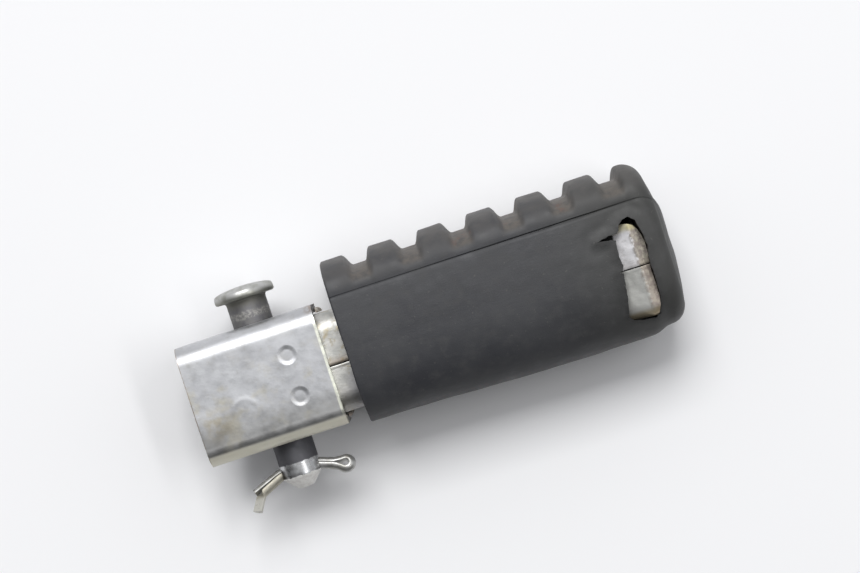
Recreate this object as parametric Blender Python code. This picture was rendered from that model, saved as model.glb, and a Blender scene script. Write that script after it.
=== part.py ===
"""Folding motorcycle foot peg: a pressed bracket spot-welded to a folded box tube, a ribbed
rubber sleeve over the tube, and a clevis pin with its split pin through the bracket.

Sizes are in millimetres and are turned into metres where a mesh is made. The peg lies on its
side: +X runs outboard along the peg, +Y is the tread, +Z is the side that the bracket's web
is on, and z = 0 is the surface that the rubber lies on. Lengths are given from the hinge
pin's axis in X and from the peg's middle in Y.
"""
import math

import bmesh
import bpy
from mathutils import Matrix, Vector

MM = 0.001
GAP = 0.3                       # between touching pieces
PAST = 5.0                      # how far a cutter reaches past what it cuts
ROUND_STEPS = 48                # facets of a pin or a hole

# hinge: pin axis along Y, through x = 0
PIN_AXIS_Z = 16.0
PIN_R = 5.0
PIN_HOLE_R = PIN_R + GAP
PIN_HEAD_R = 7.5
PIN_HEAD_UNDER_Y = 21.4
PIN_HEAD_RIM = 1.9
PIN_HEAD_EDGE = 0.4             # rounding of the head's underside edge
PIN_HEAD_TOP_Y = 24.6
PIN_CHAMFER_Y = -23.7
PIN_TIP_Y = -26.9
PIN_TIP_R = 2.2
PIN_TIP_EDGE = 0.4
CROSS_HOLE_Y = -22.35
CROSS_HOLE_R = 1.78

# pressed U-shaped bracket: web on top, a flange on each side
SHEET = 2.0
BRACKET_TAIL_X = -19.2
BRACKET_FRONT_X = 15.1
BRACKET_HALF_Y = 14.95
BRACKET_TOP_Z = 28.3
BRACKET_BOTTOM_Z = 6.0
BRACKET_BEND_R = 4.5
TAIL_CORNER_R = 10.0            # flanges are rounded about the pin, to swing in the clevis
FRONT_CORNER_R = 3.0
DIMPLE_X = 6.3
DIMPLES_Y = {"upper": 5.35, "lower": -4.9}
DIMPLE_TOP_R = 2.2
DIMPLE_FLOOR_R = 1.6
DIMPLE_DEPTH = 0.4

# folded box tube with an open seam on the web's side
CORE_HALF_Y = 12.4
CORE_TOP_Z = BRACKET_TOP_Z - SHEET - GAP
CORE_BOTTOM_Z = 6.0
CORE_BEND_R = 5.0
CORE_INNER_R = 3.0
SEAM_Y = -0.55
SEAM_WIDTH = 0.4
CORE_TONGUE_X = 1.0             # the spot-welded wall reaches in under the web
TONGUE_LOW_Z = CORE_TOP_Z - SHEET - 0.05
CORE_WALLS_X = (6.5, 88.6)      # the other walls stop short of the pin and of the lip
FLARE_START_X = 75.0            # from here the tube widens, which holds the sleeve on
FLARE_END_X = 92.8
FLARE_TOP = 4.5
FLARE_SIDE = 0.6
FLARE_BEND_R = -2.0
LIP_END_X = 95.1
LIP_UPPER_Y = 9.6
LIP_LOW_Z = 24.5
LIP_FACE_DROP = 0.8

# rubber sleeve
SLEEVE_X = 20.1
SLEEVE_MID_Y = 2.0
SLEEVE_UNDER_Y = -16.7
SLEEVE_HALF_Z = 16.0
SLEEVE_POWER = 2.6              # superellipse of the rounded underside
SLEEVE_CROWN_Y = 4.0
SLEEVE_CROWN_DROP = 0.8         # how far the sides draw in at the tread's ledge
FLAT_SIDE_FACTOR = 1.06         # flattens the side that it lies on
BULGE = 1.4                     # the underside swells towards the tube's end
BULGE_START_X = 20.0
BULGE_FULL_X = 75.0
BULGE_FADE_X = 92.0
BULGE_END_X = 97.0
LEDGE_Y = 15.1
LEDGE_STEP = 0.5
TREAD_EDGE_Y = 15.4
TREAD_POWER = 2.4               # superellipse of the domed tread
TREAD_HEIGHT = 8.7              # of the ribs over the ledge
VALLEY_DEPTH = 3.1
RIB_COUNT = 7
RIB_PITCH = 12.56
RIB_FIRST_X = 25.9              # outboard top corner of the first rib
RIB_TOP = 6.3
RIB_OUT_FLANK = 1.4
RIB_IN_FLANK = 0.9
END_X = 102.6
END_DOME_R = 68.0
END_LEAN = 0.023                # the domed end leans, its tread side further inboard
END_EDGE_R = 4.3
END_EDGE_X = 96.3
END_CENTRE_Y = 3.5
END_RADIUS = 20.5
UNDER_STEPS = 9                 # facets of the rounded underside
SIDE_Y = (6.0, 11.0)            # extra places on the side wall
TREAD_STEPS = 8
END_EDGE_TURNS = (0, 18, 36, 54, 72)
END_DOME_PARTS = (0.82, 0.65, 0.45, 0.25, 0.08)
SLOT_X = (87.2, 95.5)
SLOT_Y = (-13.5, 11.4)
SLOT_CORNER_R = 2.4
SLOT_LOW_Z = 21.0
POCKET_END_X = 95.6

# weld beads where the flanges end on the tube's sides
WELD_Z = (9.0, 19.5)
WELD_LEG = 1.3
WELD_SIZES = ((0, 0.45), (0.12, 0.85), (0.3, 1.0), (0.5, 0.92), (0.7, 1.0), (0.88, 0.85),
              (1, 0.45))        # (part of the way up, part of the leg)

# split pin: half-round wire, folded into an eye and two legs
WIRE_R = 1.45
WIRE_HALF_GAP = 0.06
WIRE_STEPS = 8                  # facets of the wire's round side
SPLIT_TILT = -28.0              # its plane leans out of the peg's own plane
SPLIT_STRAIGHT = 4.3            # half its straight length, inside the cross hole
EYE_DROOP = 20.0                # degrees that the eye and the legs droop, from there
LEG_DROOP = {"upper": 23.5, "lower": 26.5}
EYE_NECK = 4.1                  # lengths along the drooping neck
EYE_CENTRE = 7.1
EYE_R = 0.9
EYE_SPREAD = 15.0               # of the wire, where it parts at the neck
LEG_UPPER = 8.5                 # the leg nearer the bracket is cut off straight
LEG_LOWER = 6.4                 # the other one turns down at its end
LEG_END_BEND = 37.0
LEG_END_LENGTH = 5.5
LEG_END_TWIST = -57.0
LEG_STEP = 0.5
LEG_BEND_STEPS = 4
SPLIT_PIN_LOW_Y = -29.6

REST_X = -(BRACKET_TAIL_X + END_X) / 2
REST_Y = -(SPLIT_PIN_LOW_Y + PIN_HEAD_TOP_Y) / 2


def arc(centre, radius, start, end, steps):
    """Points of an arc, both ends included, angles in degrees."""
    points = []
    for i in range(steps + 1):
        angle = math.radians(start + (end - start) * i / steps)
        points.append((centre[0] + radius * math.cos(angle),
                       centre[1] + radius * math.sin(angle)))
    return points


def smooth(value, low, high):
    """0 below low, 1 above high, and an eased step between."""
    t = min(1.0, max(0.0, (value - low) / (high - low)))
    return t * t * (3 - 2 * t)


def material(name, color, metallic, roughness):
    made = bpy.data.materials.new(name)
    made.use_nodes = True
    shader = made.node_tree.nodes["Principled BSDF"]
    shader.inputs["Base Color"].default_value = (*color, 1)
    shader.inputs["Metallic"].default_value = metallic
    shader.inputs["Roughness"].default_value = roughness
    made.diffuse_color = (*color, 1)
    return made


def loft(rings):
    """A closed mesh through rings of the same number of points, with flat ends."""
    bm = bmesh.new()
    loops = [[bm.verts.new(Vector(p) * MM) for p in ring] for ring in rings]
    count = len(loops[0])
    for near, far in zip(loops, loops[1:]):
        for i in range(count):
            j = (i + 1) % count
            bm.faces.new((near[i], near[j], far[j], far[i]))
    bm.faces.new(loops[0][::-1])
    bm.faces.new(loops[-1])
    bmesh.ops.recalc_face_normals(bm, faces=bm.faces[:])
    return bm


def prism(outline, axis, start, end):
    """The outline drawn square to an axis, pushed along it from start to end."""
    def place(point, along):
        a, b = point
        return {"X": (along, a, b), "Y": (a, along, b), "Z": (a, b, along)}[axis]
    return loft([[place(p, start) for p in outline], [place(p, end) for p in outline]])


def box(low, high):
    corners = [(low[0], low[1]), (high[0], low[1]), (high[0], high[1]), (low[0], high[1])]
    return prism(corners, "Z", low[2], high[2])


def rounded_box(low, high, radius, axis, start, end, steps=5):
    """A prism of a rectangle with rounded corners."""
    outline = arc((high[0] - radius, high[1] - radius), radius, 0, 90, steps)
    outline += arc((low[0] + radius, high[1] - radius), radius, 90, 180, steps)
    outline += arc((low[0] + radius, low[1] + radius), radius, 180, 270, steps)
    outline += arc((high[0] - radius, low[1] + radius), radius, 270, 360, steps)
    return prism(outline, axis, start, end)


def turned(profile, axis, centre, steps=ROUND_STEPS):
    """A solid of revolution from (place along the axis, radius) pairs."""
    rings = []
    for along, radius in profile:
        ring = []
        for i in range(steps):
            a = 2 * math.pi * i / steps
            u, v = radius * math.cos(a), radius * math.sin(a)
            x, y, z = centre
            if axis == "X":
                ring.append((along, y + u, z + v))
            elif axis == "Y":
                ring.append((x + u, along, z + v))
            else:
                ring.append((x + u, y + v, along))
        rings.append(ring)
    return loft(rings)


def place(name, bm, parent, finish=None, origin=(0, 0, 0)):
    """Turn a bmesh into an object; its origin, in peg coordinates, lies on its parent."""
    bmesh.ops.translate(bm, verts=bm.verts[:], vec=-Vector(origin) * MM)
    mesh = bpy.data.meshes.new(name)
    bm.to_mesh(mesh)
    bm.free()
    mesh.shade_smooth()
    mesh.set_sharp_from_angle(angle=math.radians(35))
    made = bpy.data.objects.new(name, mesh)
    bpy.context.scene.collection.objects.link(made)
    made.parent = parent
    if finish:
        mesh.materials.append(finish)
    return made


def helper(name, bm, parent, origin=(0, 0, 0)):
    """A cutter or a shape to be joined on: it isn't a piece of the object."""
    made = place(name, bm, parent, origin=origin)
    made.hide_render = True
    made.display_type = "WIRE"
    return made


def combine(target, tool, operation="DIFFERENCE"):
    step = target.modifiers.new(tool.name, "BOOLEAN")
    step.operation = operation
    step.solver = "EXACT"
    step.object = tool


def empty(name, parent, location):
    made = bpy.data.objects.new(name, None)
    bpy.context.scene.collection.objects.link(made)
    made.parent = parent
    made.location = Vector(location) * MM
    return made


def hinge_bracket(parent, finish):
    """Sheet bent into a U, its flanges holed for the pin and rounded at the tail."""
    side, top, radius = BRACKET_HALF_Y, BRACKET_TOP_Z, BRACKET_BEND_R
    left, right = (-side + radius, top - radius), (side - radius, top - radius)
    outline = [(-side, BRACKET_BOTTOM_Z)] + arc(left, radius, 180, 90, 8)
    outline += arc(right, radius, 90, 0, 8) + [(side, BRACKET_BOTTOM_Z)]
    outline += [(side - SHEET, BRACKET_BOTTOM_Z)] + arc(right, radius - SHEET, 0, 90, 6)
    outline += arc(left, radius - SHEET, 90, 180, 6) + [(-side + SHEET, BRACKET_BOTTOM_Z)]
    bracket = place("hinge_bracket", prism(outline, "X", BRACKET_TAIL_X, BRACKET_FRONT_X),
                    parent, finish)

    tail, front, low = BRACKET_TAIL_X, BRACKET_FRONT_X, BRACKET_BOTTOM_Z
    corner = arc((tail + TAIL_CORNER_R, low + TAIL_CORNER_R), TAIL_CORNER_R, 180, 270, 12)
    corner += [(tail + TAIL_CORNER_R, low - PAST), (tail - PAST, low - PAST)]
    corner += [(tail - PAST, low + TAIL_CORNER_R)]
    nose = arc((front - FRONT_CORNER_R, low + FRONT_CORNER_R), FRONT_CORNER_R, 0, -90, 6)
    nose += [(front - FRONT_CORNER_R, low - PAST), (front + PAST, low - PAST)]
    nose += [(front + PAST, low + FRONT_CORNER_R)]
    reach = side + PAST
    combine(bracket, helper("cut_tail_corner", prism(corner, "Y", -reach, reach), parent))
    combine(bracket, helper("cut_front_corner", prism(nose, "Y", -reach, reach), parent))
    hole = [(-reach, PIN_HOLE_R), (reach, PIN_HOLE_R)]
    combine(bracket, helper("cut_pin_holes", turned(hole, "Y", (0, 0, PIN_AXIS_Z)), parent))
    for name, y in DIMPLES_Y.items():
        slope = (DIMPLE_TOP_R - DIMPLE_FLOOR_R) / DIMPLE_DEPTH
        dimple = [(top - DIMPLE_DEPTH, DIMPLE_FLOOR_R),
                  (top + DIMPLE_DEPTH, DIMPLE_TOP_R + slope * DIMPLE_DEPTH)]
        dimple = turned(dimple, "Z", (DIMPLE_X, y, 0), 24)
        combine(bracket, helper(f"cut_dimple_{name}", dimple, parent))
    return bracket


def flare(x):
    """How far the tube has widened at x, from 0 to 1."""
    part = (x - FLARE_START_X) / (FLARE_END_X - FLARE_START_X)
    return min(1.0, max(0.0, part)) ** 2


def tube_corners(x, out, radius):
    """The tube's corners at x, clockwise from the tread's, grown outwards by out."""
    low_y = -CORE_HALF_Y - FLARE_SIDE * flare(x) - out
    high_y = CORE_HALF_Y + out
    low_z = CORE_BOTTOM_Z - out
    high_z = CORE_TOP_Z + FLARE_TOP * flare(x) + out
    r = radius + FLARE_BEND_R * flare(x)
    run = arc((high_y - r, high_z - r), r, 90, 0, 5)
    run += arc((high_y - r, low_z + r), r, 0, -90, 5)
    run += arc((low_y + r, low_z + r), r, -90, -180, 5)
    return run + arc((low_y + r, high_z - r), r, 180, 90, 5)


def flare_stations(start, end, steps=8):
    ease = [FLARE_START_X + (FLARE_END_X - FLARE_START_X) * i / steps
            for i in range(steps + 1)]
    return [start] + ease + [end]


def core_tube(parent, finish):
    """Sheet folded into a box with an open seam; its end is flared and ends in a lip."""
    rings = []
    for x in flare_stations(CORE_TONGUE_X, LIP_END_X):
        outer = tube_corners(x, 0, CORE_BEND_R)
        inner = tube_corners(x, -SHEET, CORE_INNER_R)[::-1]
        sides = [SEAM_Y + SEAM_WIDTH / 2, SEAM_Y - SEAM_WIDTH / 2]
        outline = [(sides[0], outer[0][1])] + outer + [(sides[1], outer[-1][1])]
        outline += [(sides[1], inner[0][1])] + inner + [(sides[0], inner[-1][1])]
        rings.append([(x, y, z) for y, z in outline])
    tube = place("core_tube", loft(rings), parent, finish)
    reach = CORE_HALF_Y + PAST
    top = CORE_TOP_Z + FLARE_TOP
    pin_room = box((CORE_TONGUE_X - PAST, -reach, CORE_BOTTOM_Z - PAST),
                   (CORE_WALLS_X[0], reach, TONGUE_LOW_Z))
    combine(tube, helper("cut_pin_room", pin_room, parent))
    end_room = box((CORE_WALLS_X[1], -reach, CORE_BOTTOM_Z - PAST),
                   (LIP_END_X + PAST, reach, LIP_LOW_Z))
    combine(tube, helper("cut_end_room", end_room, parent))
    corner = box((CORE_WALLS_X[1], LIP_UPPER_Y, LIP_LOW_Z - SHEET),
                 (LIP_END_X + PAST, reach, top + PAST))
    combine(tube, helper("cut_lip_corner", corner, parent))
    past_lip = 1.0
    face = [(FLARE_END_X, top), (LIP_END_X + past_lip, top - LIP_FACE_DROP),
            (LIP_END_X + past_lip, top + PAST), (FLARE_END_X, top + PAST)]
    combine(tube, helper("cut_lip_face", prism(face, "Y", -reach, reach), parent))
    return tube


def rib_height(x):
    """How far the tread stands above the valley floor at x."""
    height = 0.0
    for k in range(RIB_COUNT):
        out_top = RIB_FIRST_X + k * RIB_PITCH
        in_top = out_top - RIB_TOP
        if k == 0:
            rise = 1.0
        else:
            rise = (x - in_top + RIB_IN_FLANK) / RIB_IN_FLANK
        fall = (out_top + RIB_OUT_FLANK - x) / RIB_OUT_FLANK
        if k == RIB_COUNT - 1:
            fall = 1.0
        height = max(height, min(1.0, rise, fall))
    return height * VALLEY_DEPTH


def sleeve_stations():
    """Where the sleeve's section changes along X, up to the start of its end."""
    stops = [SLEEVE_X]
    for k in range(RIB_COUNT):
        out_top = RIB_FIRST_X + k * RIB_PITCH
        if k > 0:
            stops += [out_top - RIB_TOP - RIB_IN_FLANK, out_top - RIB_TOP]
        if k < RIB_COUNT - 1:
            stops += [out_top, out_top + RIB_OUT_FLANK]
    return stops


def sleeve_ring(x, ring_x=None, scale=1.0):
    """The sleeve's outline at x, drawn at ring_x and shrunk towards the end's centre."""
    bulge = BULGE * smooth(x, BULGE_START_X, BULGE_FULL_X)
    bulge *= 1 - smooth(x, BULGE_FADE_X, BULGE_END_X)
    half = []                   # (y, half width), from underneath to the tread
    reach = SLEEVE_MID_Y - SLEEVE_UNDER_Y
    for i in range(UNDER_STEPS):
        a = math.radians(90 * i / UNDER_STEPS)
        y = SLEEVE_MID_Y - reach * math.cos(a) ** (2 / SLEEVE_POWER)
        width = SLEEVE_HALF_Z * math.sin(a) ** (2 / SLEEVE_POWER)
        y -= bulge * max(0.0, (SLEEVE_MID_Y - y) / reach) ** 2
        half.append((y, width))
    drop = SLEEVE_CROWN_DROP / (LEDGE_Y - SLEEVE_CROWN_Y) ** 2
    for y in (SLEEVE_MID_Y, *SIDE_Y, LEDGE_Y):
        half.append((y, SLEEVE_HALF_Z - drop * (y - SLEEVE_CROWN_Y) ** 2))
    edge_width = half[-1][1] + LEDGE_STEP
    height = TREAD_HEIGHT - VALLEY_DEPTH + rib_height(x)
    for i in range(TREAD_STEPS):
        a = math.radians(90 * i / TREAD_STEPS)
        half.append((TREAD_EDGE_Y + height * math.sin(a) ** (2 / TREAD_POWER),
                     edge_width * math.cos(a) ** (2 / TREAD_POWER)))
    half.append((TREAD_EDGE_Y + height, 0.0))

    ring = [(y, PIN_AXIS_Z + w) for y, w in half]
    for y, w in half[-2:0:-1]:
        ring.append((y, PIN_AXIS_Z - min(SLEEVE_HALF_Z, FLAT_SIDE_FACTOR * w)))
    if ring_x is None:
        return [(x, y, z) for y, z in ring]
    placed = []
    for y, z in ring:
        away = (y - END_CENTRE_Y) * scale
        placed.append((ring_x - END_LEAN * away, END_CENTRE_Y + away,
                       PIN_AXIS_Z + (z - PIN_AXIS_Z) * scale))
    return placed


def rubber_sleeve(parent, finish):
    """Ribbed sleeve with a domed end, a pocket for the tube and a slot for its lip."""
    rings = [sleeve_ring(x) for x in sleeve_stations()]
    for turn in END_EDGE_TURNS:
        a = math.radians(turn)
        radius = END_RADIUS - END_EDGE_R * (1 - math.cos(a))
        x = END_EDGE_X + END_EDGE_R * math.sin(a)
        rings.append(sleeve_ring(END_EDGE_X, x, radius / END_RADIUS))
    for part in END_DOME_PARTS:
        radius = END_RADIUS * part
        x = END_X - radius ** 2 / (2 * END_DOME_R)
        rings.append(sleeve_ring(END_EDGE_X, x, part))
    sleeve = place("rubber_sleeve", loft(rings), parent, finish)
    pocket = []
    for x in flare_stations(SLEEVE_X - PAST, POCKET_END_X):
        pocket.append([(x, y, z) for y, z in tube_corners(x, GAP, CORE_BEND_R)])
    combine(sleeve, helper("cut_pocket", loft(pocket), parent))
    slot = rounded_box((SLOT_X[0], SLOT_Y[0]), (SLOT_X[1], SLOT_Y[1]), SLOT_CORNER_R,
                       "Z", SLOT_LOW_Z, SLEEVE_HALF_Z * 2 + PAST)
    combine(sleeve, helper("cut_slot", slot, parent))
    return sleeve


def weld_bead(name, sign, parent, finish):
    """A fillet of weld in the corner between a flange's end and the tube's side."""
    corner = (BRACKET_FRONT_X + GAP, CORE_HALF_Y + GAP)
    rings = []
    for part, size in WELD_SIZES:
        z = WELD_Z[0] + (WELD_Z[1] - WELD_Z[0]) * part
        bulged = arc((0, 0), WELD_LEG * size, 0, 90, 6)
        ring = [(corner[0] + a, sign * (corner[1] + b), z) for a, b in [(0, 0)] + bulged]
        rings.append(ring)
    return place(name, loft(rings), parent, finish)


def clevis_pin(parent, finish):
    """Headed pin with a domed head, a chamfered tip and a cross hole."""
    rim = PIN_HEAD_UNDER_Y + PIN_HEAD_RIM
    profile = [(PIN_TIP_Y, PIN_TIP_R - PIN_TIP_EDGE), (PIN_TIP_Y + PIN_TIP_EDGE, PIN_TIP_R),
               (PIN_CHAMFER_Y, PIN_R), (PIN_HEAD_UNDER_Y, PIN_R)]
    profile += [(PIN_HEAD_UNDER_Y, PIN_HEAD_R - PIN_HEAD_EDGE),
                (PIN_HEAD_UNDER_Y + PIN_HEAD_EDGE, PIN_HEAD_R)]
    dome = arc((0, 0), 1, 0, 88, 6)
    profile += [(rim + (PIN_HEAD_TOP_Y - rim) * high, PIN_HEAD_R * out) for out, high in dome]
    origin = (0, 0, PIN_AXIS_Z)
    pin = place("clevis_pin", turned(profile, "Y", origin), parent, finish, origin)
    reach = PIN_R + 3
    hole = turned([(-reach, CROSS_HOLE_R), (reach, CROSS_HOLE_R)], "X",
                  (0, CROSS_HOLE_Y, PIN_AXIS_Z), 24)
    combine(pin, helper("cut_cross_hole", hole, parent, origin))
    return pin


def bent_line(length, droop, last_bend=0.0, last_length=0.0):
    """Points from the origin along a leg that droops at its root and may turn at its end.

    Each is (place, heading, twist), in the split pin's own plane.
    """
    points, heading, at = [], 0.0, Vector((0, 0))
    runs = [(droop, LEG_BEND_STEPS), (0.0, round(length / LEG_STEP) - LEG_BEND_STEPS)]
    if last_length:
        runs.append((last_bend, LEG_BEND_STEPS))
        runs.append((0.0, round(last_length / LEG_STEP) - LEG_BEND_STEPS))
    for turn, count in runs:
        for _ in range(count):
            heading += math.radians(turn) / count
            at = at + Vector((math.cos(heading), -math.sin(heading))) * LEG_STEP
            turned_part = (math.degrees(heading) - droop) / last_bend if last_bend else 0
            points.append((at.copy(), heading, LEG_END_TWIST * max(0.0, turned_part)))
    return points


def split_pin_path():
    """Flat-side points of the wire, from one leg's tip round the eye to the other's.

    Each is (along, across, twist) in the split pin's own plane: along is X from the cross
    hole's middle, across leans from +Y towards +Z.
    """
    side = WIRE_HALF_GAP
    legs = []
    for sign, run in ((1, bent_line(LEG_UPPER, LEG_DROOP["upper"])),
                      (-1, bent_line(LEG_LOWER, LEG_DROOP["lower"], LEG_END_BEND,
                                     LEG_END_LENGTH))):
        legs.append([(-SPLIT_STRAIGHT - at.x - sign * side * math.sin(heading),
                      at.y + sign * side * math.cos(heading), twist)
                     for at, heading, twist in run])
    droop = math.radians(-EYE_DROOP)
    parted = 90 + EYE_SPREAD
    loop = [(LEG_STEP, side), (EYE_NECK, side)]
    loop += arc((EYE_CENTRE, 0), EYE_R, parted, -parted, 14)
    loop += [(EYE_NECK, -side), (LEG_STEP, -side)]
    eye = [(SPLIT_STRAIGHT + a * math.cos(droop) - b * math.sin(droop),
            a * math.sin(droop) + b * math.cos(droop), 0) for a, b in loop]
    end = SPLIT_STRAIGHT - LEG_STEP / 2
    upper = [(x, side, 0) for x in (-end, -end / 2, end / 2, end)]
    lower = [(x, -side, 0) for x, _, _ in upper[::-1]]
    return legs[0][::-1] + upper + eye + lower + legs[1]


def split_pin(parent, finish):
    """Half-round wire swept along the folded path, its flat side facing inwards."""
    tilt = math.radians(SPLIT_TILT)
    along = Vector((1, 0, 0))
    across = Vector((0, math.cos(tilt), math.sin(tilt)))
    normal = along.cross(across)
    path = split_pin_path()
    spots = [along * a + across * b for a, b, _ in path]
    rings = []
    for i, spot in enumerate(spots):
        before, after = spots[max(i - 1, 0)], spots[min(i + 1, len(spots) - 1)]
        heading = (after - before).normalized()
        outward = heading.cross(normal) * -1
        spin = Matrix.Rotation(math.radians(path[i][2]), 3, heading)
        out, flat = spin @ outward, spin @ normal
        ring = []
        for k in range(WIRE_STEPS + 1):
            a = math.pi * k / WIRE_STEPS
            ring.append(spot + flat * WIRE_R * math.cos(a) + out * WIRE_R * math.sin(a))
        rings.append([p + Vector((0, CROSS_HOLE_Y, PIN_AXIS_Z)) for p in ring])
    origin = (0, CROSS_HOLE_Y, PIN_AXIS_Z)
    return place("split_pin", loft(rings), parent, finish, origin)


def build():
    for old in list(bpy.data.objects):
        bpy.data.objects.remove(old)
    zinc = material("zinc_plate", (0.52, 0.52, 0.50), 1.0, 0.38)
    tube_steel = material("tube_steel", (0.50, 0.49, 0.46), 1.0, 0.42)
    pin_steel = material("pin_steel", (0.16, 0.16, 0.17), 1.0, 0.40)
    wire_steel = material("wire_steel", (0.50, 0.50, 0.44), 1.0, 0.30)
    weld = material("weld_metal", (0.16, 0.10, 0.07), 0.6, 0.75)
    rubber = material("black_rubber", (0.045, 0.046, 0.05), 0.0, 0.62)

    peg = empty("peg_frame", None, (REST_X, REST_Y, 0))
    hinge_bracket(peg, zinc)
    core_tube(peg, tube_steel)
    rubber_sleeve(peg, rubber)
    weld_bead("weld_bead_upper", 1, peg, weld)
    weld_bead("weld_bead_lower", -1, peg, weld)
    pin_axis = empty("pin_axis", peg, (0, 0, PIN_AXIS_Z))
    clevis_pin(pin_axis, pin_steel)
    cross_hole = empty("cross_hole", pin_axis, (0, CROSS_HOLE_Y, 0))
    split_pin(cross_hole, wire_steel)


build()
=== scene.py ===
"""Looks of the folding foot peg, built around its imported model.

Shapes are drawn in millimetres from the hinge pin's axis (x = 0), the peg's middle (y = 0)
and the surface that it lies on (z = 0), and are turned into the frame's metres when a mesh
is made. Sizes that the frame holds are read from it. Materials work in the same millimetres.
"""
import math

import bmesh
import bpy
import numpy as np
from mathutils import Matrix, Vector, noise


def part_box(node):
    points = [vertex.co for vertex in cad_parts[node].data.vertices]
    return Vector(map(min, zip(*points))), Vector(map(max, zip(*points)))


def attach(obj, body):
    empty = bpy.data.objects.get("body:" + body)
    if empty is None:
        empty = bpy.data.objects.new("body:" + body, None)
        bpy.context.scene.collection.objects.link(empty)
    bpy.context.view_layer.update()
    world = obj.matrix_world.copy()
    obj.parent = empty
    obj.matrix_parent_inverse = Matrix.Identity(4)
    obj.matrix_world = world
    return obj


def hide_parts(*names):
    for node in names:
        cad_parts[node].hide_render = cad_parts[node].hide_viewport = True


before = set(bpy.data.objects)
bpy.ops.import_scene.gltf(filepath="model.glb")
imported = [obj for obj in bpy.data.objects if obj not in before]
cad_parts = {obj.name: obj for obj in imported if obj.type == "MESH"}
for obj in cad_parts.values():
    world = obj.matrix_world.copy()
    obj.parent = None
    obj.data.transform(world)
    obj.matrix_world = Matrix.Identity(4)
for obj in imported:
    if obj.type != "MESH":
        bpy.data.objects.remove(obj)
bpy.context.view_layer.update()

MM = 0.001

# where the frame puts the peg: middle of the hinge pin, middle of the bracket
PIN_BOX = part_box("clevis_pin")
BRACKET_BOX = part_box("hinge_bracket")
ORIGIN = Vector(((PIN_BOX[0].x + PIN_BOX[1].x) / 2,
                 (BRACKET_BOX[0].y + BRACKET_BOX[1].y) / 2, 0))


def peg_box(node):
    """A CAD node's lowest and highest corners in the peg's millimetres."""
    return [(corner - ORIGIN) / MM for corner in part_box(node)]


BRACKET_LOW, BRACKET_HIGH = peg_box("hinge_bracket")
SLEEVE_LOW, SLEEVE_HIGH = peg_box("rubber_sleeve")
TUBE_LOW, TUBE_HIGH = peg_box("core_tube")
PIN_LOW, PIN_HIGH = peg_box("clevis_pin")
PIN_Z = (PIN_LOW.z + PIN_HIGH.z) / 2
SHEET = 2.0
FLAT_AREA = 12.0                # square millimetres; larger faces are flat
PAST = 5.0                      # how far a cutter reaches past what it cuts
BEVEL_ANGLE = 40.0              # degrees; edges that turn more are bevelled


# ---------------------------------------------------------------- mesh helpers

def eased(value, low, high):
    """0 below low, 1 above high, and an eased step between; works on arrays."""
    t = np.clip((value - low) / (high - low), 0, 1)
    return t * t * (3 - 2 * t)


def arc(centre, radius, start, end, steps):
    """Points of an arc, both ends included, angles in degrees."""
    angles = np.radians(np.linspace(start, end, steps + 1))
    return [(centre[0] + radius * math.cos(a), centre[1] + radius * math.sin(a))
            for a in angles]


def loft(rings, name="shape"):
    """A closed mesh through rings of the same number of points, its ends filled."""
    rings = np.array(rings, float)
    count = rings.shape[1]
    points = rings.reshape(-1, 3) * MM + np.array(ORIGIN)
    faces = []
    for r in range(len(rings) - 1):
        a, b = r * count, (r + 1) * count
        for i in range(count):
            j = (i + 1) % count
            faces.append((a + i, a + j, b + j, b + i))
    last = (len(rings) - 1) * count
    faces += [tuple(range(count))[::-1], tuple(range(last, last + count))]
    mesh = bpy.data.meshes.new(name)
    mesh.from_pydata(points.tolist(), [], faces)
    bm = bmesh.new()
    bm.from_mesh(mesh)
    bmesh.ops.recalc_face_normals(bm, faces=bm.faces[:])
    bm.to_mesh(mesh)
    bm.free()
    return mesh


def prism(outline, axis, start, end, cuts=1):
    """The outline drawn square to an axis, pushed along it from start to end."""
    order = {"X": lambda a, b, t: (t, a, b), "Y": lambda a, b, t: (a, t, b),
             "Z": lambda a, b, t: (a, b, t)}[axis]
    return loft([[order(a, b, t) for a, b in outline]
                 for t in np.linspace(start, end, cuts + 1)])


def turned(profile, axis, centre, steps=64):
    """A solid of revolution from (place along the axis, radius) pairs."""
    rings = []
    x, y, z = centre
    for along, radius in profile:
        ring = []
        for a in np.linspace(0, 2 * math.pi, steps, endpoint=False):
            u, v = radius * math.cos(a), radius * math.sin(a)
            ring.append({"X": (along, y + u, z + v), "Y": (x + u, along, z + v),
                         "Z": (x + u, y + v, along)}[axis])
        rings.append(ring)
    return loft(rings)


def thing(name, mesh):
    made = bpy.data.objects.new(name, mesh)
    bpy.context.scene.collection.objects.link(made)
    return made


def cut_away(target, mesh):
    """Cut the mesh out of an object, for good."""
    tool = thing("tool", mesh)
    step = target.modifiers.new("step", "BOOLEAN")
    step.operation = "DIFFERENCE"
    step.solver = "MANIFOLD"
    step.object = tool
    settle(target)
    bpy.data.objects.remove(tool)


def settle(target):
    """Turn an object's modifiers into its mesh."""
    depsgraph = bpy.context.evaluated_depsgraph_get()
    mesh = bpy.data.meshes.new_from_object(target.evaluated_get(depsgraph))
    target.modifiers.clear()
    target.data = mesh


def bevel(target, width, segments):
    step = target.modifiers.new("bevel", "BEVEL")
    step.width = width * MM
    step.segments = segments
    step.limit_method = "ANGLE"
    step.angle_limit = math.radians(BEVEL_ANGLE)
    step.use_clamp_overlap = True
    settle(target)


def peg_points(mesh):
    points = np.empty(len(mesh.vertices) * 3, np.float32)
    mesh.vertices.foreach_get("co", points)
    return (points.reshape(-1, 3).astype(float) - np.array(ORIGIN)) / MM


def move_points(mesh, points):
    metres = (points * MM + np.array(ORIGIN)).astype(np.float32)
    mesh.vertices.foreach_set("co", metres.ravel())
    mesh.update()


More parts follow.
